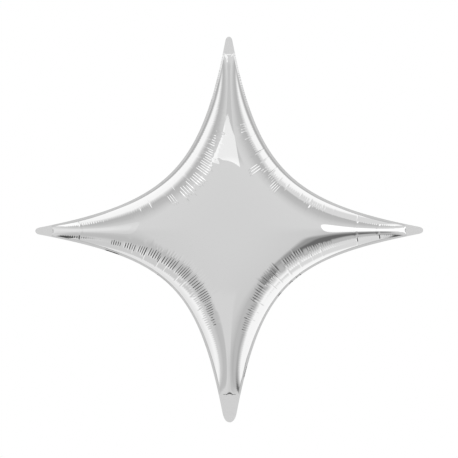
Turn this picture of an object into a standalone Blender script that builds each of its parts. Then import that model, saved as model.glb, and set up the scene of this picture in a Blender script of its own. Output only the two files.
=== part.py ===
"""A star foil balloon with four arms, filled with gas, its front face towards -Y.

Two domed foil sheets meet at a flat sealed border. Each arm ends in a flat sealed tip, and the
bottom one in a longer tail of two open leaves with the film of the filling valve between them.
Units are metres, +Z is up, and the origin is the middle of the star.
"""
import math

import bmesh
import bpy
import numpy as np

# Driving dimensions of the filled balloon
ARM_REACH = 0.490            # from the middle to the end of an arm
TAIL_REACH = 0.484           # the same for the bottom arm, which carries the tail
DEPTH = 0.278                # front to back at the middle
SIDE_LEAN = math.radians(11) # lean of a side away from its arm's axis, at the arm's end
SIDE_PULL = 0.330            # how far each end of a side runs before it bends round the notch
BORDER = 0.0045              # width of the sealed border around the domes
GAP = 0.0003                 # clearance between pieces that touch

# Each arm's name, direction across and up, reach, half-width where its end starts to round off,
# length of the rounded end, and distance from the middle to the weld that closes the dome
ARMS = [
    ("right", 1, 0, ARM_REACH, 0.0088, 0.0100, 0.446),
    ("top", 0, 1, ARM_REACH, 0.0088, 0.0100, 0.446),
    ("left", -1, 0, ARM_REACH, 0.0088, 0.0100, 0.446),
    ("bottom", 0, -1, TAIL_REACH, 0.0177, 0.0227, 0.414),
]
END_FULLNESS = 0.7           # 1 makes an arm's rounded end square, 0 makes it pointed

CROWN_FLATNESS = 1.6         # 1 gives a membrane's own crown, and more gives a flatter middle
TAPER_START = 0.28           # distance out along an arm where its crown starts to taper
TAPER_END = 0.446            # and where it would reach the border's plane

FOIL = 0.002                 # wall of a foil sheet
DOME_RIBS = 14               # lines of vertices from each half of a side to the arm's crest
DOME_STEPS = 7               # faces along one such line
SKIRT = 0.004                # how far a sheet runs past the border's plane before it is cut

BORDER_THICKNESS = 0.0016    # both foils welded together, at the border and the tips
LEAF_THICKNESS = 0.0008      # one leaf of the tail
FILM_THICKNESS = 0.0006      # valve film between the leaves
FILM_HALF_WIDTH = 0.011
FILM_INSET = 0.007           # from the tail's two ends to the film's
SIDE_POINTS = 60             # points along one side's outline
END_POINTS = 10              # points around half of an arm's end

SILVER = (0.83, 0.83, 0.83)
SEALED_SILVER = (0.74, 0.74, 0.74)
FILM_WHITE = (0.86, 0.87, 0.88)


def clear_scene():
    for thing in list(bpy.data.objects):
        bpy.data.objects.remove(thing)


def make_collection(name):
    collection = bpy.data.collections.new(name)
    bpy.context.scene.collection.children.link(collection)
    return collection


def make_material(name, color, roughness, metallic):
    material = bpy.data.materials.new(name)
    material.use_nodes = True
    shader = material.node_tree.nodes["Principled BSDF"]
    shader.inputs["Base Color"].default_value = (*color, 1.0)
    shader.inputs["Roughness"].default_value = roughness
    shader.inputs["Metallic"].default_value = metallic
    return material


def cubic(points, t):
    """Points of a cubic curve with four control points at the values t."""
    t = np.atleast_1d(t)[:, None]
    p0, p1, p2, p3 = (np.array(p, dtype=float) for p in points)
    return (1 - t) ** 3 * p0 + 3 * (1 - t) ** 2 * t * p1 + 3 * (1 - t) * t ** 2 * p2 + t ** 3 * p3


class Arm:
    """One arm of the star, read from the table."""

    def __init__(self, name):
        row = next(row for row in ARMS if row[0] == name)
        self.direction = np.array(row[1:3], dtype=float)
        self.reach, self.half_width, self.rounded, self.weld = row[3:]
        self.corner = self.direction * (self.reach - self.rounded)


class Side:
    """The concave side of the outline from one arm to the next."""

    def __init__(self, first, last):
        first, last = Arm(first), Arm(last)
        self.first, self.first_weld = first.direction, first.weld
        self.last, self.last_weld = last.direction, last.weld
        along = SIDE_PULL * math.cos(SIDE_LEAN)
        outward = SIDE_PULL * math.sin(SIDE_LEAN)
        start = first.corner + self.last * first.half_width
        end = last.corner + self.first * last.half_width
        self.controls = [
            start,
            start - self.first * along + self.last * outward,
            end - self.last * along + self.first * outward,
            end,
        ]

    def point(self, t):
        return cubic(self.controls, t)[0]

    def inward(self, t):
        """Unit normal of the side, towards the inside of the star."""
        step = 1e-4
        run = self.point(t + step) - self.point(t - step)
        normal = np.array([-run[1], run[0]]) / np.linalg.norm(run)
        towards_middle = -(self.first + self.last)
        return normal if normal @ towards_middle > 0 else -normal

    def crest_distance(self, t):
        """Where the line inward from t meets a crest: its distance out along an arm, and the arm.

        The distance is positive along the last arm and negative along the first one.
        """
        point, normal = self.point(t), self.inward(t)
        reach_last = -(point @ self.first) / (normal @ self.first)
        out_last = (point + reach_last * normal) @ self.last
        if out_last >= 0:
            return out_last
        reach_first = -(point @ self.last) / (normal @ self.last)
        return -((point + reach_first * normal) @ self.first)

    def at_distance(self, distance):
        """The t whose line inward meets the crest at a distance, by halving the range."""
        low, high = 0.002, 0.998
        for _ in range(50):
            middle = 0.5 * (low + high)
            if self.crest_distance(middle) < distance:
                low = middle
            else:
                high = middle
        return 0.5 * (low + high)


def dome_grid():
    """Places across and up of the right half of a dome, as one grid of rows for each side.

    Each row runs from the border to an arm's crest, and both sides share the right arm's crest.
    """
    steps = range(1, DOME_RIBS + 1)
    slide = [1 - math.cos(0.5 * math.pi * step / DOME_STEPS) for step in range(DOME_STEPS + 1)]
    grids = []
    for side in (Side("right", "top"), Side("right", "bottom")):
        distances = [-side.first_weld * k / DOME_RIBS for k in reversed(steps)] + [0.0]
        distances += [side.last_weld * k / DOME_RIBS for k in steps]
        rows = []
        for out in distances:
            t = side.at_distance(out)
            crest = side.last * out if out >= 0 else side.first * -out
            rim = side.point(t) + side.inward(t) * (BORDER + GAP)
            rows.append([rim + (crest - rim) * share for share in slide])
        grids.append(rows)
    return grids


def swell(mesh):
    """Raise a flat half dome as gas raises two films sealed along their border.

    The height follows a pressed membrane's sag, which is 0 along the border and curves evenly
    everywhere else. It is solved on the mesh's own triangles, and the middle plane stays free.
    Near the border the height is the root of the sag, so that the film rises upright there. The
    arms taper on towards their ends, as cones do.
    """
    mesh.verts.index_update()
    count = len(mesh.verts)
    stiffness = np.zeros((count, count))
    load = np.zeros(count)
    for face in mesh.faces:
        corners = [v.index for v in face.verts]
        flat = np.array([(v.co.x, v.co.z) for v in face.verts])
        for a, b, c in ((0, 1, 2), (0, 2, 3)):
            sides = np.array([flat[c] - flat[b], flat[a] - flat[c], flat[b] - flat[a]])
            area = 0.5 * abs(sides[0][0] * sides[1][1] - sides[0][1] * sides[1][0])
            nodes = [corners[a], corners[b], corners[c]]
            stiffness[np.ix_(nodes, nodes)] += sides @ sides.T / (4 * area)
            load[nodes] += area / 3
    border = {v.index for e in mesh.edges if on_rim(e) for v in e.verts}
    free = [index for index in range(count) if index not in border]
    sag = np.zeros(count)
    sag[free] = np.linalg.solve(stiffness[np.ix_(free, free)], load[free])
    share = 1 - sag / sag.max()
    height = 0.5 * DEPTH * np.sqrt(1 - share ** CROWN_FLATNESS)
    for vertex in mesh.verts:
        out = max(abs(vertex.co.x), abs(vertex.co.z))
        taper = min(max((out - TAPER_START) / (TAPER_END - TAPER_START), 0), 1)
        vertex.co.y = -0.5 * GAP - height[vertex.index] * (1 - taper ** 3)


def on_rim(edge):
    """True for an edge of a half dome along its border or a weld, and not at the middle plane."""
    return edge.is_boundary and max(abs(vertex.co.x) for vertex in edge.verts) > 1e-6


def build_dome_half():
    """One foil sheet's right half, open at the middle plane, with its skirt."""
    mesh = bmesh.new()
    for rows in dome_grid():
        grid = [[mesh.verts.new((place[0], 0.0, place[1])) for place in row] for row in rows]
        for row, next_row in zip(grid, grid[1:]):
            for step in range(DOME_STEPS):
                mesh.faces.new((row[step], row[step + 1], next_row[step + 1], next_row[step]))
    bmesh.ops.remove_doubles(mesh, verts=mesh.verts, dist=1e-6)
    swell(mesh)
    skirt = bmesh.ops.extrude_edge_only(mesh, edges=[e for e in mesh.edges if on_rim(e)])
    moved = [v for v in skirt["geom"] if isinstance(v, bmesh.types.BMVert)]
    bmesh.ops.translate(mesh, verts=moved, vec=(0, SKIRT, 0))
    bmesh.ops.recalc_face_normals(mesh, faces=mesh.faces)
    crown = min(mesh.faces, key=lambda face: face.calc_center_median().y)
    if crown.normal.y > 0:
        bmesh.ops.reverse_faces(mesh, faces=mesh.faces)
    return mesh


def add_block(name, low, high, collection):
    bpy.ops.mesh.primitive_cube_add(size=1)
    block = bpy.context.object
    block.name = name
    size = [b - a for a, b in zip(low, high)]
    middle = [0.5 * (a + b) for a, b in zip(low, high)]
    for vertex in block.data.vertices:
        vertex.co = [c + s * k for c, s, k in zip(middle, size, vertex.co)]
    for other in list(block.users_collection):
        other.objects.unlink(block)
    collection.objects.link(block)
    return block


def add_foil_sheet(name, facing, material, parts, cutters):
    """A domed foil sheet. facing is 1 for the front one and -1 for the back one."""
    half = build_dome_half()
    if facing < 0:
        bmesh.ops.scale(half, verts=half.verts, vec=(1, -1, 1))
        bmesh.ops.reverse_faces(half, faces=half.faces)
    mesh = bpy.data.meshes.new(name)
    half.to_mesh(mesh)
    half.free()
    mesh.materials.append(material)
    mesh.shade_smooth()
    sheet = bpy.data.objects.new(name, mesh)
    parts.objects.link(sheet)

    mirror = sheet.modifiers.new("other half", "MIRROR")
    mirror.merge_threshold = 0.00005
    wall = sheet.modifiers.new("foil", "SOLIDIFY")
    wall.thickness = FOIL
    wall.offset = -1
    low, high = sorted((-0.5 * GAP * facing, 10 * SKIRT * facing))
    reach = 1.1 * ARM_REACH
    cutter = add_block(name + "_cutter", (-reach, low, -reach), (reach, high, reach), cutters)
    cutter.hide_render = True
    cutter.display_type = "WIRE"
    cut = sheet.modifiers.new("weld plane", "BOOLEAN")
    cut.operation = "DIFFERENCE"
    cut.object = cutter
    cut.use_self = True  # the walls cross in the skirt's narrow corners, which the cut removes
    return sheet


def add_flat(name, outline, thickness, middle_y, material, parts):
    """A flat piece standing in the border's plane, from its outline across and up."""
    curve = bpy.data.curves.new(name, "CURVE")
    curve.dimensions = "2D"
    curve.fill_mode = "BOTH"
    curve.extrude = 0.5 * thickness
    spline = curve.splines.new("POLY")
    spline.points.add(len(outline) - 1)
    for point, (across, up) in zip(spline.points, outline):
        point.co = (across, up, 0, 1)
    spline.use_cyclic_u = True
    curve.materials.append(material)
    piece = bpy.data.objects.new(name, curve)
    piece.rotation_euler = (0.5 * math.pi, 0, 0)
    piece.location = (0, middle_y, 0)
    parts.objects.link(piece)
    return piece


def border_outline(side):
    """A strip along one side, from the weld of one arm to the weld of the next."""
    start = side.at_distance(-side.first_weld)
    end = side.at_distance(side.last_weld)
    values = np.linspace(start, end, SIDE_POINTS)
    outer = [side.point(t) for t in values]
    inner = [side.point(t) + side.inward(t) * BORDER for t in values]
    return outer + inner[::-1]


def end_outline(name, neighbour):
    """The flat end of an arm beyond its weld. One half follows the side towards a neighbour."""
    end = Arm(name)
    side = Side(neighbour, name)
    start = side.at_distance(end.weld + GAP)
    edge = [side.point(t) for t in np.linspace(start, 1.0, END_POINTS)]
    corner = side.point(1.0)
    tip = end.direction * end.reach
    pull = tip + side.first * end.half_width * END_FULLNESS
    for t in np.linspace(0.0, 1.0, END_POINTS)[1:]:
        edge.append((1 - t) ** 2 * corner + 2 * (1 - t) * t * pull + t ** 2 * tip)
    across = side.first
    other = [point - 2 * (point @ across) * across for point in edge[-2::-1]]
    return edge + other + [end.direction * (end.weld + GAP)]


def add_tail(materials, parts):
    """Two leaves around the valve's film, open at their lower end."""
    outline = end_outline("bottom", "right")
    offset = 0.5 * FILM_THICKNESS + GAP + 0.5 * LEAF_THICKNESS
    add_flat("tail_front_leaf", outline, LEAF_THICKNESS, -offset, materials["sealed"], parts)
    add_flat("tail_back_leaf", outline, LEAF_THICKNESS, offset, materials["sealed"], parts)
    top = -(Arm("bottom").weld + FILM_INSET)
    bottom = -(TAIL_REACH - FILM_INSET)
    shoulder = bottom + 0.5 * FILM_HALF_WIDTH
    film = [
        (-FILM_HALF_WIDTH, top),
        (-FILM_HALF_WIDTH, shoulder),
        (-0.5 * FILM_HALF_WIDTH, bottom),
        (0.5 * FILM_HALF_WIDTH, bottom),
        (FILM_HALF_WIDTH, shoulder),
        (FILM_HALF_WIDTH, top),
    ]
    add_flat("valve_film", film, FILM_THICKNESS, 0.0, materials["film"], parts)


def build():
    clear_scene()
    parts = make_collection("star_foil_balloon")
    cutters = make_collection("cutters")
    materials = {
        "foil": make_material("silver_foil", SILVER, 0.12, 1.0),
        "sealed": make_material("sealed_foil", SEALED_SILVER, 0.3, 1.0),
        "film": make_material("valve_film", FILM_WHITE, 0.35, 0.0),
    }
    add_foil_sheet("front_foil", 1, materials["foil"], parts, cutters)
    add_foil_sheet("back_foil", -1, materials["foil"], parts, cutters)
    for name, first, last in (
        ("border_upper_right", "right", "top"),
        ("border_upper_left", "left", "top"),
        ("border_lower_left", "left", "bottom"),
        ("border_lower_right", "right", "bottom"),
    ):
        add_flat(name, border_outline(Side(first, last)), BORDER_THICKNESS, 0.0, materials["sealed"], parts)
    for name, neighbour in (("top", "right"), ("right", "top"), ("left", "top")):
        outline = end_outline(name, neighbour)
        add_flat("tip_" + name, outline, BORDER_THICKNESS, 0.0, materials["sealed"], parts)
    add_tail(materials, parts)


build()
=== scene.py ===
"""A star foil balloon with four arms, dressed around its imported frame.

Two mirror bright foil sheets swell out of a flat sealed border, and gather into fine crimps and
puckers along it. Each arm ends in a flat sealed tip, and the bottom one in a tail of two leaves
around the film of the filling valve. Units are metres, +Z is up and the front faces -Y.
"""
import math

import bpy
import numpy as np
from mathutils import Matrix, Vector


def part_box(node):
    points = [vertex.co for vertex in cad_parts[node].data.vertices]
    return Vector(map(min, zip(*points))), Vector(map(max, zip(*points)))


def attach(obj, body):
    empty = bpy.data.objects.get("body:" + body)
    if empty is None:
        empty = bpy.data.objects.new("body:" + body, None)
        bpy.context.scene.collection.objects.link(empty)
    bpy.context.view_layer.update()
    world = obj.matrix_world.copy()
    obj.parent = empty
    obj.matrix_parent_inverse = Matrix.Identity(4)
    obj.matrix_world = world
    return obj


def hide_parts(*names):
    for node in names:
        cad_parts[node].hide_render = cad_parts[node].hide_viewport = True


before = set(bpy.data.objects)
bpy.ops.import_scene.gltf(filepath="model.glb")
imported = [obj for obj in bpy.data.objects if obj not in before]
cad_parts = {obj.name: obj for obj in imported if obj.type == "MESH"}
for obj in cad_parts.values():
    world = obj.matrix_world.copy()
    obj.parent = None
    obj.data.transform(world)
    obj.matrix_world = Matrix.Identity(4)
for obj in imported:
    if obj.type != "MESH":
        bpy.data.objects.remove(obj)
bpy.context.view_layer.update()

# Outline of the star, in the sizes that its frame was cut to
SIDE_LEAN = math.radians(11)  # lean of a side away from its arm's axis, at the arm's end
SIDE_PULL = 0.330             # how far each end of a side runs before it bends round the notch
BORDER = 0.0045               # width of the sealed border
GAP = 0.0003                  # clearance between the frame's pieces

# Each arm: direction across and up, half-width where its end starts to round off, length of the
# rounded end, and the frame piece that forms this end
ARM_TABLE = {
    "right": ((1, 0), 0.0088, 0.0100, "tip_right"),
    "top": ((0, 1), 0.0088, 0.0100, "tip_top"),
    "left": ((-1, 0), 0.0088, 0.0100, "tip_left"),
    "bottom": ((0, -1), 0.0177, 0.0227, "tail_front_leaf"),
}
END_FULLNESS = 0.7            # 1 makes an arm's rounded end square, 0 makes it pointed

# The filled film
CROWN_FLATNESS = 1.6          # 1 gives a membrane's own crown, and more gives a flatter middle
TAPER_START = 0.28            # distance out along an arm where its crown starts to taper
TAPER_END = 0.452             # and where it would reach the border's plane
TAIL_TAPER_START = 0.24       # the same for the bottom arm
TAIL_TAPER_END = 0.424
SLACK_START = 0.20            # distance out along an arm where its flanks start to flatten
SLACK_END = 0.40              # and where they are flattest
SLACK = 0.35                  # how much, from 0, upright at the rim, to 0.5, a lens
FOIL = 0.002                  # wall of a sheet
CRIMP = 0.0054                # spacing of the finest wrinkles along the border
CRIMP_DEPTH = 0.00115
PUCKER = 0.030                # spacing of the larger puckers
PUCKER_DEPTH = 0.0011
PUCKER_WIDTH = 0.0028
PUCKER_REACH = 0.055
CREASES = {"right": (0.313, 0.373), "left": (0.372,)}  # folds across an arm, by distance out along it
CREASE_WIDTH = 0.0018
CREASE_DEPTH = 0.0007
CREASE_START = 0.006          # distance from the rim where a fold reaches its depth

# Mesh of a sheet: fine along the border, four times coarser over the crown
HALF_COLUMNS = 400            # columns on each half of a side, a multiple of 8
ROWS = 32                     # rows from the border to an arm's crest
FINE_ROWS = 22
COARSE = 4                    # columns merged into one over the crown
INNER_COLUMNS = 8             # the same on the unseen inner face
INNER_ROWS = 4
CURVE_STEPS = 4001            # points along a curve while its columns are spaced evenly
SAME_POINT = 0.00001          # points closer than this are one

# The photograph's frame, in pixels, and its scale at the border's plane
PHOTO_WIDTH = 458
PIXEL = 0.002526
STAR_MIDDLE = (229.25, 230.66)
STAR_ROLL = math.radians(0.11)
CAMERA_DISTANCE = 5.0
SENSOR = 0.036

FLOOR_HEIGHT = -1.2
FLOOR_RADIUS = 3.2
OVERHEAD_HEIGHT = 3.4         # the large round softbox over the floor
OVERHEAD_SIZE = 4.0
OVERHEAD_POWER = 260


class Arm:
    """One arm of the star, measured on the frame piece at its end."""

    def __init__(self, name):
        direction, self.half_width, self.rounded, end_piece = ARM_TABLE[name]
        self.direction = np.array(direction, dtype=float)
        outs = [np.array((corner.x, corner.z)) @ self.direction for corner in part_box(end_piece)]
        self.reach = max(outs)
        self.weld = min(outs) - GAP
        self.corner = self.direction * (self.reach - self.rounded)


class Side:
    """The concave side of the outline from one arm to the next."""

    END_MARGIN = 0.002        # share of the side left out at each of its ends
    HALVINGS = 50             # steps to find a place along it

    def __init__(self, first, last):
        self.arms = (first, last)
        first, last = Arm(first), Arm(last)
        self.first, self.first_weld = first.direction, first.weld
        self.last, self.last_weld = last.direction, last.weld
        along = SIDE_PULL * math.cos(SIDE_LEAN)
        outward = SIDE_PULL * math.sin(SIDE_LEAN)
        start = first.corner + self.last * first.half_width
        end = last.corner + self.first * last.half_width
        self.controls = [
            start,
            start - self.first * along + self.last * outward,
            end - self.last * along + self.first * outward,
            end,
        ]

    def point(self, t):
        t = np.atleast_1d(t)[:, None]
        p0, p1, p2, p3 = self.controls
        return (1 - t) ** 3 * p0 + 3 * (1 - t) ** 2 * t * p1 + 3 * (1 - t) * t ** 2 * p2 + t ** 3 * p3

    def inward(self, t):
        """Unit normals of the side, towards the inside of the star."""
        t = np.atleast_1d(t)[:, None]
        p0, p1, p2, p3 = self.controls
        run = (1 - t) ** 2 * (p1 - p0) + 2 * (1 - t) * t * (p2 - p1) + t ** 2 * (p3 - p2)
        normal = np.stack([-run[:, 1], run[:, 0]], axis=1) / np.linalg.norm(run, axis=1)[:, None]
        return normal * np.sign(normal @ -(self.first + self.last))[:, None]

    def rim(self, t):
        """Points where the film leaves the border."""
        return self.point(t) + self.inward(t) * (BORDER + GAP)

    def crest_distance(self, t):
        """How far out along an arm the lines inward meet its crest, negative on the first arm."""
        point, normal = self.point(t), self.inward(t)
        reach_last = -(point @ self.first) / (normal @ self.first)
        out_last = (point + reach_last[:, None] * normal) @ self.last
        reach_first = -(point @ self.last) / (normal @ self.last)
        out_first = (point + reach_first[:, None] * normal) @ self.first
        return np.where(out_last >= 0, out_last, -out_first)

    def crest(self, distance):
        distance = np.atleast_1d(distance)[:, None]
        return np.where(distance >= 0, self.last * distance, self.first * -distance)

    def at_distance(self, distance):
        """The values of t whose lines inward meet the crest at these distances."""
        distance = np.atleast_1d(distance)
        low = np.full(distance.shape, self.END_MARGIN)
        high = 1 - low
        for _ in range(self.HALVINGS):
            middle = 0.5 * (low + high)
            below = self.crest_distance(middle) < distance
            low, high = np.where(below, middle, low), np.where(below, high, middle)
        return 0.5 * (low + high)

    def welds(self):
        """The values of t where the two arms' welds start."""
        return self.at_distance([-self.first_weld, self.last_weld])


SIDES = {
    "upper_right": Side("right", "top"),
    "upper_left": Side("left", "top"),
    "lower_left": Side("left", "bottom"),
    "lower_right": Side("right", "bottom"),
}


class Film:
    """The height of the filled film over the border's plane, and its slope.

    It follows the sag of a pressed membrane: an even bowl plus sources spread just outside the
    rim, weighed so that the sag is 0 all round it. The height is the root of the sag near the
    rim, so that the film rises upright there.
    """

    SOURCE_OFFSET = 0.35      # distance of the sources outside the rim, as a share of the film's width
    OFFSET_LIMIT = 0.04
    SOURCE_SPACING = 0.45     # spacing of the sources, as a share of that distance
    WELD_SOURCES = 11
    CURVE_STEPS = 2001
    PLACES_AT_ONCE = 4000

    def __init__(self, half_depth):
        self.half_depth = half_depth
        sources, rim = [], []
        for side in SIDES.values():
            t = np.linspace(*side.welds(), self.CURVE_STEPS)
            width = np.linalg.norm(side.crest(side.crest_distance(t)) - side.point(t), axis=1)
            offset = np.minimum(self.SOURCE_OFFSET * width, self.OFFSET_LIMIT)
            run = np.linalg.norm(np.diff(side.point(t), axis=0), axis=1)
            count = np.concatenate([[0], np.cumsum(run / (self.SOURCE_SPACING * offset[1:]))])
            places = np.interp(np.linspace(0, count[-1], int(count[-1])), count, t)
            sources.append(side.point(places) - side.inward(places) * np.interp(places, t, offset)[:, None])
            rim.append(side.rim(np.interp(np.linspace(0, count[-1], 3 * int(count[-1])), count, t)))
        for name, neighbour in (("right", "top"), ("left", "top"), ("top", "right"), ("bottom", "right")):
            arm, side = Arm(name), Side(neighbour, name)
            half_width = abs(side.rim(side.at_distance(arm.weld))[0] @ side.first)
            spread = np.linspace(-1, 1, self.WELD_SOURCES)[:, None] * side.first
            offset = self.SOURCE_OFFSET * half_width
            sources.append(arm.direction * (arm.weld + offset) + spread * half_width)
            across = np.sin(0.5 * math.pi * np.linspace(-1, 1, 4 * self.WELD_SOURCES))[:, None]
            rim.append(arm.direction * arm.weld + across * side.first * half_width)
        self.sources, rim = np.concatenate(sources), np.concatenate(rim)
        pull = np.log(np.linalg.norm(rim[:, None] - self.sources, axis=2))
        bowl = 0.25 * (rim ** 2).sum(axis=1)
        weights = np.linalg.lstsq(np.hstack([pull, np.ones((len(rim), 1))]), bowl, rcond=1e-12)[0]
        self.weights, self.level = weights[:-1], weights[-1]
        self.deepest = self.sag(np.zeros((1, 2)))[0][0]
        self.outs = np.linspace(0, 0.5, 501)
        self.crest_sags = {}
        for arm in ARM_TABLE:
            direction = np.array(ARM_TABLE[arm][0], dtype=float)
            self.crest_sags[arm] = self.sag(self.outs[:, None] * direction)[0]

    def sag(self, places):
        """The sag at places across and up, and its slope there."""
        away = places[:, None] - self.sources
        square = (away ** 2).sum(axis=2)
        sag = 0.5 * np.log(square) @ self.weights + self.level - 0.25 * (places ** 2).sum(axis=1)
        slope = np.einsum("ijk,ij,j->ik", away, 1 / square, self.weights) - 0.5 * places
        return sag, slope

    def slack(self, places, out, sag):
        """How much lower the flanks of an arm's end lie, where the film isn't stretched tight."""
        crest = np.zeros(len(out))
        for arm, (direction, *_) in ARM_TABLE.items():
            on_arm = places @ np.array(direction, dtype=float) == out
            crest[on_arm] = np.interp(out[on_arm], self.outs, self.crest_sags[arm])
        share = np.clip(sag / np.maximum(crest, 1e-9), 1e-4, 1)
        part = np.clip((out - SLACK_START) / (SLACK_END - SLACK_START), 0, 1)
        return share ** (SLACK * part * part * (3 - 2 * part))

    def surface(self, places):
        """Heights over the border's plane, and unit normals as across, up and out."""
        heights, normals = [], []
        for some in np.array_split(places, 1 + len(places) // self.PLACES_AT_ONCE):
            sag, slope = self.sag(some)
            share = np.clip(sag / self.deepest, 0, 1)
            height = self.half_depth * np.sqrt(1 - (1 - share) ** CROWN_FLATNESS)
            steep = 0.5 * self.half_depth ** 2 * CROWN_FLATNESS * (1 - share) ** (CROWN_FLATNESS - 1)
            steep = steep[:, None] * slope / self.deepest
            out = np.abs(some).max(axis=1)
            on_tail = -some[:, 1] == out
            start = np.where(on_tail, TAIL_TAPER_START, TAPER_START)
            end = np.where(on_tail, TAIL_TAPER_END, TAPER_END)
            part = np.clip((out - start) / (end - start), 0, 1)
            outward = np.sign(some) * (np.abs(some) == out[:, None])
            fall = -3 * part ** 2 / (end - start)
            taper = 1 - part ** 3
            rise = taper[:, None] * steep + (height ** 2 * fall)[:, None] * outward
            normal = np.column_stack([-rise, height])
            height = taper * height * self.slack(some, out, sag)
            heights.append(height)
            normals.append(normal / np.maximum(np.linalg.norm(normal, axis=1), 1e-12)[:, None])
        return np.concatenate(heights), np.concatenate(normals)


class Nodes:
    """Adds nodes to a tree, so that each effect below reads as a formula."""

    def __init__(self, tree):
        self.tree = tree

    def feed(self, socket, value):
        if isinstance(value, bpy.types.NodeSocket):
            self.tree.links.new(value, socket)
        else:
            socket.default_value = value

    def add(self, kind, inputs, **settings):
        """A node with its settings, fed by a dictionary of values or of other nodes' outputs."""
        node = self.tree.nodes.new(kind)
        for name, value in settings.items():
            setattr(node, name, value)
        for socket, value in inputs.items():
            self.feed(node.inputs[socket], value)
        return node

    def math(self, operation, *values):
        return self.add("ShaderNodeMath", dict(enumerate(values)), operation=operation).outputs[0]

    def times(self, first, second):
        return self.math("MULTIPLY", first, second)

    def smooth(self, value, low, high, low_value=0.0, high_value=1.0):
        """Runs smoothly from low_value to high_value while value runs from low to high."""
        inputs = dict(enumerate((value, low, high, low_value, high_value)))
        return self.add("ShaderNodeMapRange", inputs, interpolation_type="SMOOTHSTEP").outputs[0]

    def fall(self, value, low, high):
        """Runs smoothly from 1 to 0 while value runs from low to high."""
        return self.smooth(value, low, high, 1.0, 0.0)

    def noise(self, value, scale, detail=0.0):
        """Even noise between 0 and 1 along a single value."""
        inputs = {"W": value, "Scale": scale, "Detail": detail}
        return self.add("ShaderNodeTexNoise", inputs, noise_dimensions="1D").outputs[0]

    def attribute(self, name):
        node = self.add("GeometryNodeInputNamedAttribute", {"Name": name}, data_type="FLOAT")
        return node.outputs["Attribute"]

    def random(self, low, high, number, seed):
        """A random value of its own for each whole number."""
        node = self.add("FunctionNodeRandomValue", {"ID": number, "Seed": seed}, data_type="FLOAT")
        floats = [socket for socket in node.inputs if socket.type == "VALUE"]
        self.feed(floats[0], low)
        self.feed(floats[1], high)
        return next(socket for socket in node.outputs if socket.type == "VALUE")


def new_group(name, kind, inputs, outputs):
    """A node group with named sockets. Returns its node adder, its inputs and its output node."""
    group = bpy.data.node_groups.new(name, kind)
    for label, (socket_type, default) in inputs.items():
        socket = group.interface.new_socket(label, in_out="INPUT", socket_type=socket_type)
        if default is not None:
            socket.default_value = default
    for label, socket_type in outputs.items():
        group.interface.new_socket(label, in_out="OUTPUT", socket_type=socket_type)
    given = group.nodes.new("NodeGroupInput").outputs
    return group, Nodes(group), given, group.nodes.new("NodeGroupOutput")


def finish_tree(nodes, given, result, geometry):
    """Ends a geometry tree: instances made real, the material set."""
    real = nodes.add("GeometryNodeRealizeInstances", {"Geometry": geometry})
    inputs = {"Geometry": real.outputs[0], "Material": given["Material"]}
    painted = nodes.add("GeometryNodeSetMaterial", inputs)
    nodes.feed(result.inputs["Geometry"], painted.outputs[0])


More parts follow.
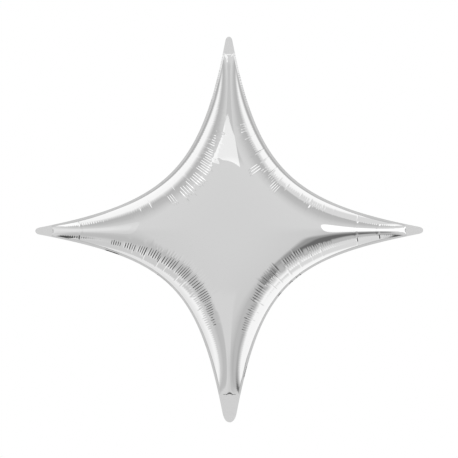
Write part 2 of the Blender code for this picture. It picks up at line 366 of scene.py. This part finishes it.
def crimped_film_tree():
    """Crimps and puckers that run from the border into a film, along its own normals.

    The mesh brings along, the distance along its side, inset, the distance from the rim, open,
    which is 1 in the notch and 0 at an arm's end, gather, the strength of the crimps, reach, how
    far they run into the film, start, the share of that run where they are at full depth, and
    crease, the depth of the folds across an arm.
    """
    inputs = {
        "Geometry": ("NodeSocketGeometry", None),
        "Crimp Spacing": ("NodeSocketFloat", CRIMP),
        "Crimp Depth": ("NodeSocketFloat", CRIMP_DEPTH),
        "Pucker Spacing": ("NodeSocketFloat", PUCKER),
        "Pucker Depth": ("NodeSocketFloat", PUCKER_DEPTH),
        "Pucker Width": ("NodeSocketFloat", PUCKER_WIDTH),
        "Pucker Reach": ("NodeSocketFloat", PUCKER_REACH),
        "Seed": ("NodeSocketInt", 0),
        "Material": ("NodeSocketMaterial", None),
    }
    outputs = {"Geometry": "NodeSocketGeometry"}
    group, n, given, result = new_group("crimped_film", "GeometryNodeTree", inputs, outputs)
    along, inset = n.attribute("along"), n.attribute("inset")
    opened, gather, start = n.attribute("open"), n.attribute("gather"), n.attribute("start")

    wander = n.times(n.noise(along, 14.0), 1.5)
    count = n.math("ADD", n.math("DIVIDE", along, given["Crimp Spacing"]), wander)
    number = n.math("FLOOR", count)
    halfway = n.times(n.math("SUBTRACT", n.math("FRACT", count), 0.5), 2.0)
    ridge = n.math("SUBTRACT", 1.0, n.math("ABSOLUTE", halfway))
    strength = n.random(0.75, 1.0, number, given["Seed"])
    own_reach = n.random(0.82, 1.0, number, n.math("ADD", given["Seed"], 1))
    reach = n.times(n.attribute("reach"), own_reach)
    share = n.math("DIVIDE", inset, reach)
    deepening = n.smooth(share, n.times(start, 0.85), start, 0.06, 1.0)
    fade = n.times(n.fall(share, 0.85, 1.0), deepening)
    rise = n.smooth(inset, 0.0, 0.004)
    crimp = n.times(n.times(ridge, strength), n.times(fade, rise))
    crimp = n.times(crimp, n.times(gather, given["Crimp Depth"]))

    place = n.math("ADD", n.math("DIVIDE", along, given["Pucker Spacing"]), n.noise(along, 20.0))
    pucker_number = n.math("FLOOR", place)
    off_middle = n.math("SUBTRACT", n.math("FRACT", place), 0.5)
    across = n.math("DIVIDE", n.times(off_middle, given["Pucker Spacing"]), given["Pucker Width"])
    groove = n.fall(n.math("ABSOLUTE", across), 0.0, 1.0)
    pucker_depth = n.random(0.3, 1.0, pucker_number, n.math("ADD", given["Seed"], 2))
    pucker_depth = n.times(pucker_depth, n.smooth(opened, 0.45, 0.8))
    pucker_share = n.math("DIVIDE", inset, given["Pucker Reach"])
    pucker_fade = n.times(n.fall(pucker_share, 0.4, 1.0), n.smooth(pucker_share, 0.05, 0.4))
    pucker = n.times(n.times(groove, pucker_depth), pucker_fade)
    pucker = n.times(pucker, given["Pucker Depth"])

    lift = n.math("SUBTRACT", n.math("SUBTRACT", crimp, pucker), n.attribute("crease"))
    lift = n.times(lift, n.attribute("outer"))
    normal = n.add("GeometryNodeInputNormal", {}).outputs["Normal"]
    offset = n.add("ShaderNodeVectorMath", {0: normal, "Scale": lift}, operation="SCALE").outputs[0]
    moved = n.add("GeometryNodeSetPosition", {"Geometry": given["Geometry"], "Offset": offset})
    finish_tree(n, given, result, moved.outputs[0])
    return group


def sealed_film_tree():
    """Crimps and slow waves of a flat sealed strip, out of its plane.

    The mesh brings along, the distance along the strip, across, 0 where it joins the film and 1
    at its free edge, and curl, how much that edge curls away from the front.
    """
    inputs = {
        "Geometry": ("NodeSocketGeometry", None),
        "Crimp Spacing": ("NodeSocketFloat", CRIMP),
        "Crimp Depth": ("NodeSocketFloat", 0.0002),
        "Wave Spacing": ("NodeSocketFloat", 0.045),
        "Wave Depth": ("NodeSocketFloat", 0.0012),
        "Curl Depth": ("NodeSocketFloat", 0.0035),
        "Seed": ("NodeSocketInt", 0),
        "Material": ("NodeSocketMaterial", None),
    }
    outputs = {"Geometry": "NodeSocketGeometry"}
    group, n, given, result = new_group("sealed_film", "GeometryNodeTree", inputs, outputs)
    along, across = n.attribute("along"), n.attribute("across")
    wander = n.times(n.noise(along, 30.0), 3.0)
    count = n.math("ADD", n.math("DIVIDE", along, given["Crimp Spacing"]), wander)
    ridge = n.math("SINE", n.times(count, 2 * math.pi))
    strength = n.random(0.3, 1.0, n.math("FLOOR", count), given["Seed"])
    crimp = n.times(n.times(ridge, strength), given["Crimp Depth"])
    shifted = n.math("ADD", n.math("DIVIDE", along, given["Wave Spacing"]), given["Seed"])
    wave = n.math("SUBTRACT", n.noise(shifted, 1.0, 1.0), 0.5)
    wave = n.times(n.times(wave, 2.0), given["Wave Depth"])
    lift = n.times(n.math("ADD", crimp, wave), across)
    curl = n.times(n.times(n.attribute("curl"), given["Curl Depth"]), n.math("POWER", across, 2.0))
    lift = n.math("ADD", lift, curl)
    offset = n.add("ShaderNodeCombineXYZ", {"Y": lift}).outputs[0]
    moved = n.add("GeometryNodeSetPosition", {"Geometry": given["Geometry"], "Offset": offset})
    finish_tree(n, given, result, moved.outputs[0])
    return group


def run_tree(piece, group, values):
    """Gives a piece the tree's result as a plain mesh."""
    modifier = piece.modifiers.new(group.name, "NODES")
    modifier.node_group = group
    for item in group.interface.items_tree:
        if item.item_type == "SOCKET" and item.in_out == "INPUT" and item.name in values:
            modifier[item.identifier] = values[item.name]
    graph = bpy.context.evaluated_depsgraph_get()
    mesh = bpy.data.meshes.new_from_object(piece.evaluated_get(graph))
    piece.modifiers.remove(modifier)
    old = piece.data
    piece.data = mesh
    mesh.name = piece.name
    bpy.data.meshes.remove(old)


def new_piece(name, points, faces, attributes):
    """A smooth mesh piece with a value for each of its points in every named attribute."""
    mesh = bpy.data.meshes.new(name)
    mesh.from_pydata(points.tolist(), [], faces)
    for label, values in attributes.items():
        attribute = mesh.attributes.new(label, "FLOAT", "POINT")
        attribute.data.foreach_set("value", np.asarray(values, np.float32))
    mesh.shade_smooth()
    piece = bpy.data.objects.new(name, mesh)
    bpy.context.scene.collection.objects.link(piece)
    return piece


def place_piece(piece, slot, *nodes):
    """Hangs a finished piece on the balloon, in place of its frame's solids."""
    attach(piece, "root")
    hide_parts(*nodes)


# Bundles of crimps, for each side: where the bundle's middle lies, from -1 at the first arm's weld
# to 1 at the last one's, half its length, its strength, and how far it runs into the film
BUNDLES = {
    "upper_right": [
        (-0.30, 0.10, 0.5, 0.040), (-0.01, 0.03, 1.0, 0.072), (0.08, 0.08, 0.6, 0.055),
        (0.157, 0.03, 1.0, 0.085), (0.30, 0.08, 0.4, 0.045), (0.44, 0.04, 0.9, 0.055),
    ],
    "upper_left": [
        (-0.30, 0.12, 0.35, 0.045), (-0.12, 0.025, 0.8, 0.086), (-0.01, 0.050, 1.0, 0.100),
        (0.080, 0.042, 1.0, 0.097), (0.165, 0.040, 1.0, 0.091), (0.250, 0.046, 1.0, 0.085),
        (0.365, 0.066, 1.0, 0.078), (0.52, 0.080, 0.3, 0.045),
    ],
    "lower_left": [
        (-0.52, 0.04, 0.7, 0.040), (-0.42, 0.05, 0.8, 0.050), (-0.33, 0.04, 0.9, 0.062),
        (-0.24, 0.05, 1.0, 0.078), (-0.13, 0.06, 1.0, 0.090), (-0.02, 0.05, 1.0, 0.100),
        (0.09, 0.06, 1.0, 0.100), (0.20, 0.05, 1.0, 0.091), (0.30, 0.05, 1.0, 0.077),
        (0.39, 0.05, 0.9, 0.058),
    ],
    "lower_right": [
        (-0.35, 0.10, 0.3, 0.050), (-0.16, 0.09, 0.45, 0.062), (0.03, 0.08, 0.9, 0.088),
        (0.18, 0.07, 0.45, 0.066), (0.38, 0.12, 0.3, 0.052),
    ],
}
# The share of a crimp's reach from which it is at full depth
STARTS = {"upper_right": 0.55, "upper_left": 0.52, "lower_left": 0.38, "lower_right": 0.50}
QUIET_STRENGTH = 0.13         # crimps between the bundles
QUIET_REACH = (0.010, 0.042)  # beside the arms and in the notch


def crimp_profile(name, place):
    """Strength and reach of the crimps at places from -1 to 1 along a side."""
    opened = np.clip(1.4 * (1 - np.abs(place)), 0, 1)
    strength = np.full(place.shape, QUIET_STRENGTH)
    reach = QUIET_REACH[0] + (QUIET_REACH[1] - QUIET_REACH[0]) * opened
    for middle, half, peak, far in BUNDLES[name]:
        rise = np.clip(4 * (1 - np.abs(place - middle) / half), 0, 1)
        strength = np.maximum(strength, peak * rise)
        reach = np.maximum(reach, np.where(rise > 0.3, far * (0.85 + 0.15 * rise), 0))
    return strength, reach


def column_distances():
    """Distances along a full arm's crest where the columns of a sheet meet it.

    They are those that space the columns evenly along the rim.
    """
    side = SIDES["upper_right"]
    t = np.linspace(0.5, side.welds()[1], CURVE_STEPS)
    run = np.concatenate([[0], np.cumsum(np.linalg.norm(np.diff(side.rim(t), axis=0), axis=1))])
    even = np.interp(np.linspace(0, run[-1], HALF_COLUMNS + 1), run, t)
    distances = side.crest_distance(even)
    distances[0], distances[-1] = 0.0, side.last_weld
    return distances


def foil_sheet(name, facing, film, distances, tree, material):
    """A swollen sheet with its wall. facing is -1 for the front and 1 for the back."""
    shares = 1 - np.cos(0.5 * math.pi * np.arange(ROWS + 1) / ROWS)
    full = distances[-1]
    points, values, faces = [], [], []
    start = 0
    for side_number, (side_name, side) in enumerate(SIDES.items()):
        on_first, on_last = distances[:0:-1] * side.first_weld / full, distances * side.last_weld / full
        out = np.concatenate([-on_first, on_last])
        t = side.at_distance(out)
        rim, crest = side.rim(t), side.crest(out)
        run = np.concatenate([[0], np.cumsum(np.linalg.norm(np.diff(rim, axis=0), axis=1))])
        along = run - run[HALF_COLUMNS]
        place = along / np.where(along < 0, -along[0], along[-1])
        gather, reach = crimp_profile(side_name, place)
        crease = np.zeros(len(out))
        for arm, arm_out in zip(side.arms, (-out, out)):
            for middle in CREASES.get(arm, ()):
                crease += CREASE_DEPTH * np.exp(-((arm_out - middle) / CREASE_WIDTH) ** 2)
        turn = facing * np.sign(side.first[0] * side.last[1] - side.first[1] * side.last[0])

        def layer(columns, rows, inner):
            """Adds a grid of points, and returns their numbers by column and row."""
            nonlocal start
            flat = rim[columns][:, None] + (crest - rim)[columns][:, None] * shares[rows][:, None]
            height, normal = film.surface(flat.reshape(-1, 2))
            height = height.reshape(flat.shape[:2])
            height[:, rows == 0] = 0
            height[[column in (0, 2 * HALF_COLUMNS) for column in columns]] = 0
            depth = facing * (0.5 * GAP + height)
            spots = np.stack([flat[..., 0], depth, flat[..., 1]], axis=-1).reshape(-1, 3)
            if inner:
                lean = np.stack([normal[:, 0], facing * normal[:, 2], normal[:, 1]], axis=-1)
                spots -= FOIL * lean
                spots[:, 1] = np.maximum(facing * spots[:, 1], 0.5 * GAP) * facing
            shape = flat.shape[:2]
            inset = np.linalg.norm(flat - rim[columns][:, None], axis=-1)
            for key, value in (
                ("along", along[columns][:, None] + 2.0 * side_number),
                ("inset", inset),
                ("open", 1 - np.abs(place[columns])[:, None]),
                ("gather", gather[columns][:, None]),
                ("reach", reach[columns][:, None]),
                ("start", STARTS[side_name]),
                ("crease", crease[columns][:, None] * np.clip(inset / CREASE_START, 0, 1)),
                ("outer", 0.0 if inner else 1.0),
            ):
                bag.setdefault(key, []).append(np.broadcast_to(value, shape).reshape(-1))
            points.append(spots)
            numbers = start + np.arange(len(spots)).reshape(shape)
            start += len(spots)
            return numbers

        bag = {}
        every = np.arange(2 * HALF_COLUMNS + 1)
        fine = layer(every, np.arange(FINE_ROWS + 1), False)
        crown = layer(every[::COARSE], np.arange(FINE_ROWS + 1, ROWS + 1), False)
        inside = layer(every[::INNER_COLUMNS], np.arange(0, ROWS + 1, INNER_ROWS), True)
        values.append(bag)

        def add(*corners):
            faces.append([int(corner) for corner in (corners if turn > 0 else corners[::-1])])

        def quad(grid, column, row, flip=1):
            """Adds one face of a grid. A flip of -1 turns it to the inside."""
            (near, far), (next_near, next_far) = grid[column:column + 2, row:row + 2]
            add(near, *(far, next_far, next_near)[::flip])

        for column in range(2 * HALF_COLUMNS):
            for row in range(FINE_ROWS):
                quad(fine, column, row)
        for column in range(crown.shape[0] - 1):
            first, last = column * COARSE, (column + 1) * COARSE
            add(*fine[first:last + 1, FINE_ROWS][::-1], crown[column, 0], crown[column + 1, 0])
            for row in range(crown.shape[1] - 1):
                quad(crown, column, row)
        for column in range(inside.shape[0] - 1):
            for row in range(inside.shape[1] - 1):
                quad(inside, column, row, -1)
            first, last = column * INNER_COLUMNS, (column + 1) * INNER_COLUMNS
            add(*fine[first:last + 1, 0], inside[column + 1, 0], inside[column, 0])
        for end, flip in ((0, 1), (-1, -1)):
            ring = np.concatenate([fine[end], crown[end]])
            for row in range(inside.shape[1] - 1):
                first, last = row * INNER_ROWS, (row + 1) * INNER_ROWS
                add(*np.concatenate([ring[first:last + 1][::-1], inside[end, [row, row + 1]]])[::flip])

    attributes = {
        key: np.concatenate([part for bag in values for part in bag[key]]) for key in values[0]
    }
    piece = new_piece(name, np.concatenate(points), faces, attributes)
    weld_doubles(piece)
    run_tree(piece, tree, {"Material": material, "Seed": 3 if facing < 0 else 11})
    return piece


def weld_doubles(piece):
    """Merges the points that two grids of a piece share."""
    weld = piece.modifiers.new("weld", "WELD")
    weld.merge_threshold = SAME_POINT
    graph = bpy.context.evaluated_depsgraph_get()
    mesh = bpy.data.meshes.new_from_object(piece.evaluated_get(graph))
    piece.modifiers.remove(weld)
    piece.data = mesh


BORDER_OVERLAP = 0.001        # how far the border runs on under the rim of the film
STRIP_THICKNESS = 0.0005
STRIP_STEP = 0.0009           # spacing of a strip's columns
STRIP_ROWS = 6


def strip_piece(
    name, outer, inner, tree, material, values, along, across=None, curl=None, middle=None,
):
    """A thin closed strip between two lines of points across and up.

    values are the tree's own. along, across, curl and middle, the height of its middle behind the
    border's plane, are given for each column. across is the share of the strip's width unless it
    is given.
    """
    share = np.linspace(0, 1, STRIP_ROWS + 1)
    flat = inner[:, None] + (outer - inner)[:, None] * share[:, None]
    columns, rows = flat.shape[:2]
    middle = np.zeros(columns) if middle is None else middle
    curl = np.zeros(columns) if curl is None else curl
    layers = []
    for y in (-0.5 * STRIP_THICKNESS, 0.5 * STRIP_THICKNESS):
        depth = np.broadcast_to(middle[:, None] + y, (columns, rows))
        layers.append(np.stack([flat[..., 0], depth, flat[..., 1]], axis=-1).reshape(-1, 3))
    front = np.arange(columns * rows).reshape(columns, rows)
    back = front + columns * rows
    faces = []
    for c in range(columns - 1):
        for r in range(rows - 1):
            faces.append([front[c, r], front[c, r + 1], front[c + 1, r + 1], front[c + 1, r]])
            faces.append([back[c, r], back[c + 1, r], back[c + 1, r + 1], back[c, r + 1]])
        for r in (0, rows - 1):
            faces.append([front[c, r], front[c + 1, r], back[c + 1, r], back[c, r]][::1 if r == 0 else -1])
    for c in (0, columns - 1):
        for r in range(rows - 1):
            faces.append([front[c, r], back[c, r], back[c, r + 1], front[c, r + 1]][::1 if c == 0 else -1])
    run = outer[-1] - outer[0]
    rise = (outer - inner).mean(axis=0)
    if run[0] * rise[1] - run[1] * rise[0] < 0:
        faces = [face[::-1] for face in faces]
    faces = [[int(corner) for corner in face] for face in faces]
    attributes = {
        "along": np.tile(np.repeat(along, rows), 2),
        "across": np.tile(np.tile(share, columns) if across is None else np.repeat(across, rows), 2),
        "curl": np.tile(np.repeat(curl, rows), 2),
    }
    piece = new_piece(name, np.concatenate(layers), faces, attributes)
    piece.data.set_sharp_from_angle(angle=math.radians(60))
    run_tree(piece, tree, {"Material": material, **values})
    return piece


# Stretches of the border that curl, for each side: middle, half length and strength
CURLS = {
    "upper_right": [(0.40, 0.22, 0.4)],
    "upper_left": [(-0.50, 0.12, 0.3), (0.72, 0.08, 0.4)],
    "lower_left": [(-0.50, 0.09, 1.0), (-0.04, 0.10, 0.9), (0.55, 0.08, 0.5)],
    "lower_right": [(-0.08, 0.03, 1.0), (0.0, 0.025, 0.9), (0.13, 0.025, 0.9), (0.80, 0.08, 0.6)],
}


def border_strip(name, number, side, tree, material):
    """The sealed border along one side of the star."""
    t = np.linspace(*side.welds(), CURVE_STEPS)
    run = np.concatenate([[0], np.cumsum(np.linalg.norm(np.diff(side.point(t), axis=0), axis=1))])
    even = np.linspace(0, run[-1], int(run[-1] / STRIP_STEP))
    t = np.interp(even, run, t)
    outer = side.point(t)
    inner = outer + side.inward(t) * (BORDER + BORDER_OVERLAP)
    along = even - 0.5 * run[-1] + 2.0 * number
    place = 2 * even / run[-1] - 1
    curl = np.zeros(len(place))
    for middle, half, strength in CURLS[name]:
        curl = np.maximum(curl, strength * np.clip(2 * (1 - np.abs(place - middle) / half), 0, 1))
    piece_name, values = "border_" + name + "_film", {"Seed": 5 + number}
    return strip_piece(piece_name, outer, inner, tree, material, values, along, curl=curl)


END_STEPS = 60                # columns of an arm's flat end
END_OVERLAP = 0.0015          # how far it runs on under the film
END_INSET = 0.0001            # how far it stops short of the frame's own end
EDGE_STEPS = 80               # points along one edge of it, and again around its rounded end
LEAF_OPENING = 0.0028         # how far each leaf of the tail bends away at its end


def end_edges(name):
    """The two edges of an arm's flat end, from its weld to its tip, and the share run along it."""
    arm = Arm(name)
    share = np.linspace(0, 1, END_STEPS)
    first = arm.weld - END_OVERLAP
    outs = first + (arm.reach - END_INSET - first) * np.sin(0.5 * math.pi * share)
    edges = []
    for side in SIDES.values():
        for direction, across, sign in ((side.first, side.last, -1), (side.last, side.first, 1)):
            if direction @ arm.direction < 0.5:
                continue
            start = side.at_distance(sign * first)[0]
            flank = side.point(np.linspace(start, 0.5 + 0.5 * sign, EDGE_STEPS))
            tip = arm.direction * arm.reach
            pull = tip + across * arm.half_width * END_FULLNESS
            t = np.linspace(0, 1, EDGE_STEPS)[1:, None]
            cap = (1 - t) ** 2 * flank[-1] + 2 * (1 - t) * t * pull + t ** 2 * tip
            line = np.concatenate([flank, cap])
            wide = np.interp(outs, line @ direction, line @ across)
            edges.append(outs[:, None] * direction + wide[:, None] * across)
    return edges[0], edges[1], share


def flat_end(piece_name, arm_name, tree, material, seed, bend):
    """The sealed film at the end of an arm. bend is how far its tip leans to the back."""
    first, last, share = end_edges(arm_name)
    along = 0.5 * (first + last) @ Arm(arm_name).direction
    values = {"Seed": seed, "Wave Spacing": 0.016, "Wave Depth": 0.0009, "Crimp Depth": 0.00012}
    return strip_piece(
        piece_name, first, last, tree, material, values, along,
        across=share ** 0.5, middle=bend * share ** 2 + np.sign(bend) * 0.5 * STRIP_THICKNESS,
    )


VALVE_ENTRY = 0.007           # length of the valve's narrowing lower end


def valve_strip(tree, material):
    """The film of the filling valve, between the leaves."""
    low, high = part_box("valve_film")
    outs = np.linspace(high.z, low.z, END_STEPS)
    heights, widths = (low.z, low.z + VALVE_ENTRY, high.z), (high.x - 0.5 * VALVE_ENTRY, high.x, high.x)
    wide = np.interp(outs, heights, widths)
    left, right = np.column_stack([-wide, outs]), np.column_stack([wide, outs])
    share = np.linspace(0, 1, END_STEPS)
    values = {"Seed": 31, "Wave Spacing": 0.02, "Wave Depth": 0.0006, "Crimp Depth": 0.0}
    return strip_piece("valve_film_strip", left, right, tree, material, values, outs, across=share)


def grain_group():
    """Faint handling marks of a film: a roughness that wanders, and a height for its relief."""
    inputs = {
        "Vector": ("NodeSocketVector", None),
        "Scale": ("NodeSocketFloat", 40.0),
        "Smooth": ("NodeSocketFloat", 0.05),
        "Worn": ("NodeSocketFloat", 0.1),
    }
    outputs = {"Roughness": "NodeSocketFloat", "Height": "NodeSocketFloat"}
    group, n, given, result = new_group("film_grain", "ShaderNodeTree", inputs, outputs)
    clouds = {"Vector": given["Vector"], "Scale": given["Scale"], "Detail": 3.0}
    cloud = n.add("ShaderNodeTexNoise", clouds).outputs[0]
    n.feed(result.inputs["Roughness"], n.smooth(cloud, 0.35, 0.75, given["Smooth"], given["Worn"]))
    fine = {"Vector": given["Vector"], "Scale": n.times(given["Scale"], 6.0), "Detail": 2.0}
    n.feed(result.inputs["Height"], n.add("ShaderNodeTexNoise", fine).outputs[0])
    return group


def new_material(name):
    material = bpy.data.materials.new(name)
    material.use_nodes = True
    nodes = Nodes(material.node_tree)
    return material, nodes, material.node_tree.nodes["Principled BSDF"]


def rub_in(n, shader, grain, scale, smooth, worn):
    """Gives a shader the grain's roughness, and returns the height of its relief."""
    place = n.add("ShaderNodeTexCoord", {}).outputs["Object"]
    inputs = {"Vector": place, "Scale": scale, "Smooth": smooth, "Worn": worn}
    marks = n.add("ShaderNodeGroup", inputs, node_tree=grain)
    n.feed(shader.inputs["Roughness"], marks.outputs["Roughness"])
    return marks.outputs["Height"]


def film_material(name, grain, reflects, smooth, worn, scale, relief):
    """Metallised film. reflects is the share of light it gives back, relief its grain's depth."""
    material, n, shader = new_material(name)
    shader.inputs["Base Color"].default_value = (reflects, reflects, reflects, 1)
    shader.inputs["Metallic"].default_value = 1.0
    height = rub_in(n, shader, grain, scale, smooth, worn)
    bump = n.add("ShaderNodeBump", {"Distance": relief, "Height": height})
    n.feed(shader.inputs["Normal"], bump.outputs[0])
    return material


def valve_material(grain):
    """Milky soft plastic film."""
    material, n, shader = new_material("milky_valve_film")
    shader.inputs["IOR"].default_value = 1.5
    tone = n.add("ShaderNodeValToRGB", {0: rub_in(n, shader, grain, 60.0, 0.25, 0.4)})
    tone.color_ramp.elements[0].color = (0.78, 0.80, 0.82, 1)
    tone.color_ramp.elements[1].color = (0.88, 0.89, 0.90, 1)
    n.feed(shader.inputs["Base Color"], tone.outputs[0])
    return material


def floor_material():
    material, n, shader = new_material("pale_floor")
    shader.inputs["Roughness"].default_value = 0.8
    place = n.add("ShaderNodeTexCoord", {}).outputs["Object"]
    cloud = n.add("ShaderNodeTexNoise", {"Vector": place, "Scale": 1.5, "Detail": 2.0}).outputs[0]
    tone = n.add("ShaderNodeValToRGB", {0: cloud})
    tone.color_ramp.elements[0].color = (0.86, 0.86, 0.86, 1)
    tone.color_ramp.elements[1].color = (0.90, 0.90, 0.90, 1)
    n.feed(shader.inputs["Base Color"], tone.outputs[0])
    return material


# What the film mirrors. Each list is a tone for angles away from the camera's side: 0 is the
# camera, 90 the plane of the border and 180 the white backdrop
UPPER_TONES = [
    (0, 0.70), (56, 0.72), (68, 0.65), (80, 0.55), (96, 0.50), (104, 0.66), (116, 1.0),
    (160, 1.05), (172, 0.7),
]
LOWER_LEFT_TONES = [
    (0, 0.70), (50, 0.68), (66, 0.55), (80, 0.54), (90, 0.62), (97, 0.70), (106, 0.93),
    (118, 1.0), (150, 0.82),
]
LOWER_RIGHT_TONES = [
    (0, 0.70), (50, 0.66), (62, 0.55), (71, 0.43), (82, 0.35), (89, 0.40), (97, 0.62),
    (110, 1.0), (160, 1.0),
]

# The studio's own surfaces, far from the star, and later ones cover earlier ones. Name, azimuth
# from and to, elevation from and to, softness of the edges, all in degrees, and tone. Azimuth is
# 0 at the camera and positive to its right
CARDS = [
    ("ceiling", -180, 180, 58, 90, 1.5, 1.1),
    ("left_ceiling_behind", -180, -156, 45, 72, 3.0, 0.50),
    ("right_ceiling_behind", 105, 180, 40, 78, 4.0, 0.75),
    ("left_wall_behind", -180, -80, -1, 20, 3.0, 0.45),
    ("right_wall_behind", 80, 180, -1, 20, 3.0, 0.45),
    ("above_camera", -30, 30, 41, 58, 3.0, 0.60),
    ("front_floor", -180, 180, -90, -60.7, 0.7, 0.08),
    ("left_floor_behind", -180, -95, -59, -35, 3.0, 0.65),
    ("right_floor_behind", 125, 180, -62, -35, 4.0, 0.75),
    ("right_reflector", 80, 125, -66, -49, 2.0, 0.76),
    ("right_shadow", 48, 76, -38, -17, 4.0, 0.33),
    ("right_shadow_core", 57, 80, -38, -23, 3.0, 0.15),
    ("below_camera", -40, 12, -61, -34, 5.0, 0.71),
    ("right_notch_light", 50, 95, -54, -42, 4.0, 0.53),
]

# Softboxes close in front of the star: name, shape, middle, size, turn, and the tone that they add
# to what the studio shows behind them
SOFTBOXES = [
    ("upper_softbox", "RECTANGLE", (-0.071, -0.40, 0.582), (0.47, 0.32), math.radians(12), 0.32),
    ("right_softbox", "ELLIPSE", (0.85, -0.40, 0.05), (0.44, 0.40), 0.0, 0.45),
    ("left_softbox_core", "ELLIPSE", (-0.90, -0.40, 0.06), (0.34, 0.34), 0.0, 0.12),
    ("left_softbox", "ELLIPSE", (-0.90, -0.40, 0.06), (0.44, 0.46), 0.0, 0.09),
    ("left_softbox_rim", "ELLIPSE", (-0.90, -0.40, 0.06), (0.54, 0.58), 0.0, 0.06),
]


def studio_surround():
    """The white studio around the balloon, as its film mirrors it. The camera sees plain white."""
    world = bpy.data.worlds.new("studio")
    world.use_nodes = True
    bpy.context.scene.world = world
    n = Nodes(world.node_tree)
    toward = n.add("ShaderNodeTexCoord", {}).outputs["Generated"]
    right, away, up = n.add("ShaderNodeSeparateXYZ", {0: toward}).outputs
    off_camera = n.math("DEGREES", n.math("ARCCOSINE", n.times(away, -1.0)))
    azimuth = n.math("DEGREES", n.math("ARCTAN2", right, n.times(away, -1.0)))
    elevation = n.math("DEGREES", n.math("ARCSINE", up))

    def ramp(tones):
        node = n.add("ShaderNodeValToRGB", {0: n.math("DIVIDE", off_camera, 180.0)})
        elements = node.color_ramp.elements
        elements.remove(elements[1])
        for number, (angle, tone) in enumerate(tones):
            element = elements[0] if number == 0 else elements.new(angle / 180)
            element.position = angle / 180
            element.color = (tone, tone, tone, 1)
        return node.outputs[0]

    def blend(share, below, above):
        inputs = {0: share, 6: below, 7: above}
        return n.add("ShaderNodeMix", inputs, data_type="RGBA").outputs[2]

    lower = blend(n.smooth(right, -0.15, 0.15), ramp(LOWER_LEFT_TONES), ramp(LOWER_RIGHT_TONES))
    tone = blend(n.smooth(up, -0.12, 0.12), lower, ramp(UPPER_TONES))
    for _, west, east, low, high, soft, card_tone in CARDS:
        share = 1.0
        if east - west < 360:
            from_west = n.smooth(azimuth, west - soft, west + soft)
            share = n.times(from_west, n.fall(azimuth, east - soft, east + soft))
        share = n.times(share, n.smooth(elevation, low - soft, low + soft))
        if high < 90:
            share = n.times(share, n.fall(elevation, high - soft, high + soft))
        tone = blend(share, tone, (card_tone, card_tone, card_tone, 1))

    seen = n.add("ShaderNodeLightPath", {}).outputs["Is Camera Ray"]
    final = blend(seen, tone, (1, 1, 1, 1))
    background = world.node_tree.nodes["Background"]
    n.feed(background.inputs["Color"], final)


def area_light(name, shape, size, power, place):
    """An area light that the camera doesn't see. size is its width and height."""
    lamp = bpy.data.lights.new(name, "AREA")
    lamp.shape = shape
    lamp.size, lamp.size_y = size
    lamp.energy = power
    light = bpy.data.objects.new(name, lamp)
    light.location = place
    light.visible_camera = False
    bpy.context.scene.collection.objects.link(light)
    return light


def stage():
    """The floor under the balloon, the softboxes, and the camera."""
    bpy.ops.mesh.primitive_circle_add(vertices=96, radius=FLOOR_RADIUS, fill_type="NGON")
    floor = bpy.context.object
    floor.name = "floor"
    for vertex in floor.data.vertices:
        vertex.co.z = FLOOR_HEIGHT
    floor.data.materials.append(floor_material())
    floor.visible_glossy = False

    place, size = (0, 0, OVERHEAD_HEIGHT), (OVERHEAD_SIZE, OVERHEAD_SIZE)
    overhead = area_light("overhead_softbox", "DISK", size, OVERHEAD_POWER, place)
    overhead.visible_glossy = False

    # The flat tip of the top arm mirrors none of the near softboxes
    shaded = bpy.data.collections.new("out_of_the_softboxes")
    shaded.objects.link(bpy.data.objects["tip_top_film"])
    for name, shape, middle, size, turn, tone in SOFTBOXES:
        area = size[0] * size[1] * (math.pi / 4 if shape == "ELLIPSE" else 1)
        light = area_light(name, shape, size, math.pi * area * tone, middle)
        light.rotation_euler = (0.5 * math.pi, turn, 0)
        light.light_linking.receiver_collection = shaded
    shaded.collection_objects[0].light_linking.link_state = "EXCLUDE"

    lens = bpy.data.cameras.new("camera")
    lens.sensor_width = 1000 * SENSOR
    lens.lens = 1000 * SENSOR * CAMERA_DISTANCE / (PHOTO_WIDTH * PIXEL)
    camera = bpy.data.objects.new("camera", lens)
    across = (0.5 * PHOTO_WIDTH - STAR_MIDDLE[0]) * PIXEL
    up = (STAR_MIDDLE[1] - 0.5 * PHOTO_WIDTH) * PIXEL
    camera.location = (across, -CAMERA_DISTANCE, up)
    camera.rotation_euler = (0.5 * math.pi, STAR_ROLL, 0)
    bpy.context.scene.collection.objects.link(camera)
    bpy.context.scene.camera = camera
    bpy.context.scene.view_settings.view_transform = "Standard"


def build():
    """Makes the balloon's twelve pieces, each in place of one of its frame's solids."""
    grain = grain_group()
    silver = film_material("silver_foil", grain, 0.91, 0.035, 0.07, 14.0, 0.00001)
    sealed = film_material("sealed_silver_foil", grain, 0.90, 0.16, 0.28, 60.0, 0.00005)
    ribbed = film_material("crimped_border_foil", grain, 0.80, 0.14, 0.25, 60.0, 0.00005)
    crimped, strip = crimped_film_tree(), sealed_film_tree()
    front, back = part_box("front_foil"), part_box("back_foil")
    film = Film(0.5 * (back[1].y - front[0].y - GAP))
    distances = column_distances()
    for name, facing in (("front", -1), ("back", 1)):
        sheet = foil_sheet(name + "_film", facing, film, distances, crimped, silver)
        place_piece(sheet, "foil", name + "_foil")
    for number, (name, side) in enumerate(SIDES.items()):
        border = border_strip(name, number, side, strip, ribbed)
        place_piece(border, "sealed_foil", "border_" + name)
    for number, name in enumerate(("top", "right", "left")):
        tip = flat_end("tip_" + name + "_film", name, strip, sealed, 15 + number, 0.0)
        place_piece(tip, "sealed_foil", "tip_" + name)
    for name, seed, bend in (("front", 21, -LEAF_OPENING), ("back", 24, LEAF_OPENING)):
        leaf = flat_end("tail_" + name + "_film", "bottom", strip, sealed, seed, bend)
        place_piece(leaf, "sealed_foil", "tail_" + name + "_leaf")
    place_piece(valve_strip(strip, valve_material(grain)), "valve_film", "valve_film")


build()
studio_surround()
stage()
